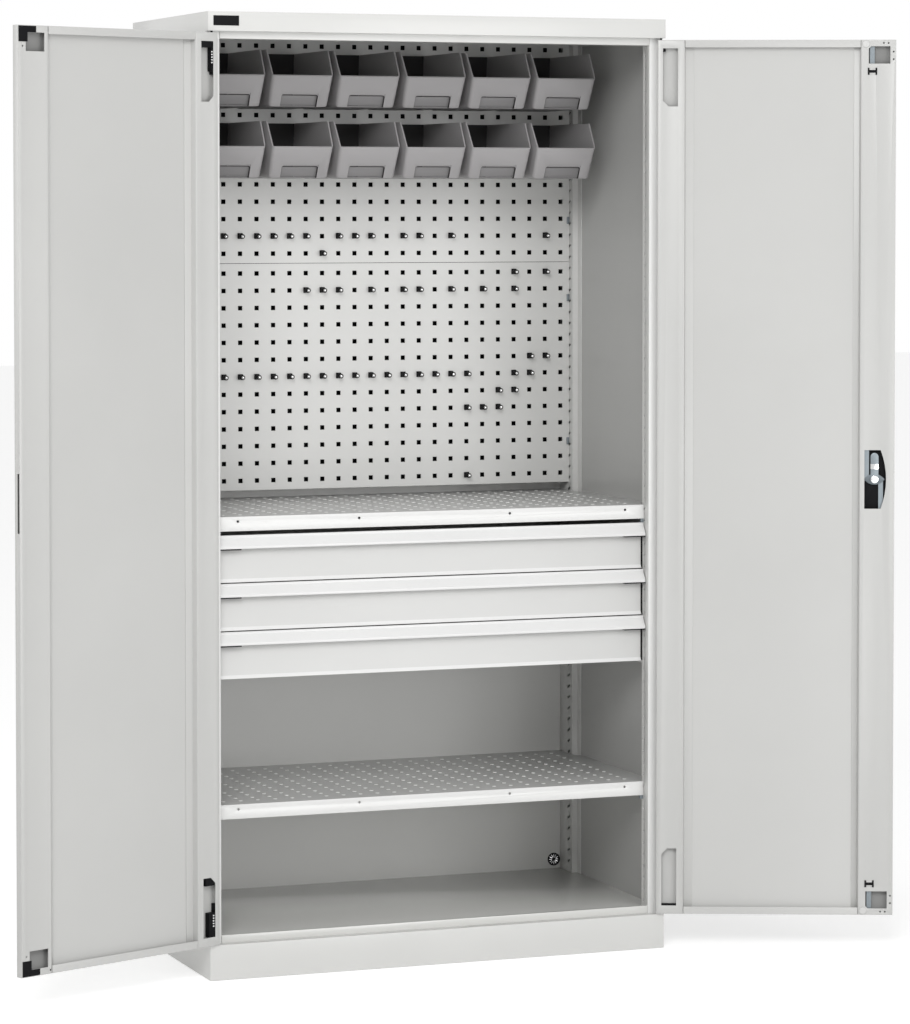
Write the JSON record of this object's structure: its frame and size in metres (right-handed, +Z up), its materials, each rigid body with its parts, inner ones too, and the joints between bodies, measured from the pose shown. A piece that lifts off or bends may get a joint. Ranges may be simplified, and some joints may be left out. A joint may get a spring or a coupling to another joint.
{
  "type": "tool cabinet",
  "caption": "Free-standing sheet-steel tool cabinet with two hinged doors, storage bins, perforated tool panels, shelves and shallow drawers.",
  "frame": {"origin": "middle of the plinth's underside, on the floor", "axes": "+Z up, the doors and drawers face -Y, +X to the right seen from the front"},
  "size_m": [1.9438, 0.7529, 2],
  "materials": {
    "cabinet_paint": "satin",
    "drawer_paint": "satin",
    "handle_paint": "satin",
    "zinc_steel": "zinc plated",
    "black_plastic": "matte",
    "bin_plastic": "matte",
    "buffer_plastic": "matte"
  },
  "bodies": {
    "carcass": {"plinth": "cabinet_paint", "base_floor": "cabinet_paint", "side_panel_left": "cabinet_paint", "side_panel_right": "cabinet_paint", "back_panel": "cabinet_paint", "top_cap": "cabinet_paint", "head_rail": "cabinet_paint", "cable_grommet": "black_plastic", "rear_uprights": "cabinet_paint", "perforated_panel_lower": "cabinet_paint", "perforated_panel_upper": "cabinet_paint", "panel_clips": "zinc_steel", "bins_lower_row": "bin_plastic", "bins_upper_row": "bin_plastic", "tool_hooks": "black_plastic", "shelf_upper": "cabinet_paint", "shelf_lower": "cabinet_paint", "shelf_clips": "zinc_steel", "drawer_carriers": "cabinet_paint", "drawer_outer_runners": "zinc_steel"},
    "door_left": {"door_left_skin": "cabinet_paint", "door_left_hinge_stile": "cabinet_paint", "door_left_lock_stile": "cabinet_paint", "door_left_hinge_bodies": "black_plastic", "door_left_hinge_pins": "zinc_steel", "door_left_corner_pieces": "black_plastic"},
    "door_right": {"door_right_skin": "cabinet_paint", "door_right_hinge_stile": "cabinet_paint", "door_right_lock_stile": "cabinet_paint", "door_right_hinge_bodies": "black_plastic", "door_right_hinge_pins": "zinc_steel", "door_right_buffers": "buffer_plastic", "door_right_rod_guides": "black_plastic", "lock_housing": "black_plastic"},
    "latch": {"latch_spindle": "zinc_steel", "latch_handle": "black_plastic", "latch_cam": "zinc_steel", "latch_lever": "zinc_steel"},
    "upper_rod": {"lock_rod_upper": "zinc_steel"},
    "lower_rod": {"lock_rod_lower": "zinc_steel"},
    "drawer_1": {"drawer_1_front": "drawer_paint", "drawer_1_handle": "handle_paint", "drawer_1_box": "drawer_paint", "drawer_1_inner_runners": "zinc_steel"},
    "drawer_1_slides": {"drawer_1_middle_runners": "zinc_steel"},
    "drawer_2": {"drawer_2_front": "drawer_paint", "drawer_2_handle": "handle_paint", "drawer_2_box": "drawer_paint", "drawer_2_inner_runners": "zinc_steel"},
    "drawer_2_slides": {"drawer_2_middle_runners": "zinc_steel"},
    "drawer_3": {"drawer_3_front": "drawer_paint", "drawer_3_handle": "handle_paint", "drawer_3_box": "drawer_paint", "drawer_3_inner_runners": "zinc_steel"},
    "drawer_3_slides": {"drawer_3_middle_runners": "zinc_steel"}
  },
  "joints": [
    {"name": "left_door_hinge", "type": "hinge", "parent": "carcass", "child": "door_left", "pos_m": [-0.503, -0.2725, 1.015], "axis": [0, 0, -1], "range_deg": [-157.5, 0]},
    {"name": "right_door_hinge", "type": "hinge", "parent": "carcass", "child": "door_right", "pos_m": [0.503, -0.2725, 1.015], "axis": [0, 0, 1], "range_deg": [-157.5, 0]},
    {"name": "latch_turn", "type": "hinge", "parent": "door_right", "child": "latch", "pos_m": [0.92706, -0.44815, 1.015], "axis": [-0.3827, -0.9239, 0], "range_deg": [-90, 0]},
    {"name": "upper_rod_slide", "type": "slide", "parent": "door_right", "child": "upper_rod", "axis": [0, 0, 1], "range_m": [0, 0.017]},
    {"name": "lower_rod_slide", "type": "slide", "parent": "door_right", "child": "lower_rod", "axis": [0, 0, -1], "range_m": [0, 0.017]},
    {"name": "drawer_1_slide", "type": "slide", "parent": "carcass", "child": "drawer_1", "axis": [0, -1, 0], "range_m": [0, 0.4]},
    {"name": "drawer_1_runner_slide", "type": "slide", "parent": "carcass", "child": "drawer_1_slides", "axis": [0, -1, 0], "range_m": [0, 0.2]},
    {"name": "drawer_2_slide", "type": "slide", "parent": "carcass", "child": "drawer_2", "axis": [0, -1, 0], "range_m": [0, 0.4]},
    {"name": "drawer_2_runner_slide", "type": "slide", "parent": "carcass", "child": "drawer_2_slides", "axis": [0, -1, 0], "range_m": [0, 0.2]},
    {"name": "drawer_3_slide", "type": "slide", "parent": "carcass", "child": "drawer_3", "axis": [0, -1, 0], "range_m": [0, 0.4]},
    {"name": "drawer_3_runner_slide", "type": "slide", "parent": "carcass", "child": "drawer_3_slides", "axis": [0, -1, 0], "range_m": [0, 0.2]}
  ],
  "couplings": [
    {"joint": "latch_turn", "follows": "upper_rod_slide", "rad_per_m": -92.4},
    {"joint": "lower_rod_slide", "follows": "upper_rod_slide", "ratio": 1},
    {"joint": "drawer_1_runner_slide", "follows": "drawer_1_slide", "ratio": 0.5},
    {"joint": "drawer_2_runner_slide", "follows": "drawer_2_slide", "ratio": 0.5},
    {"joint": "drawer_3_runner_slide", "follows": "drawer_3_slide", "ratio": 0.5}
  ]
}
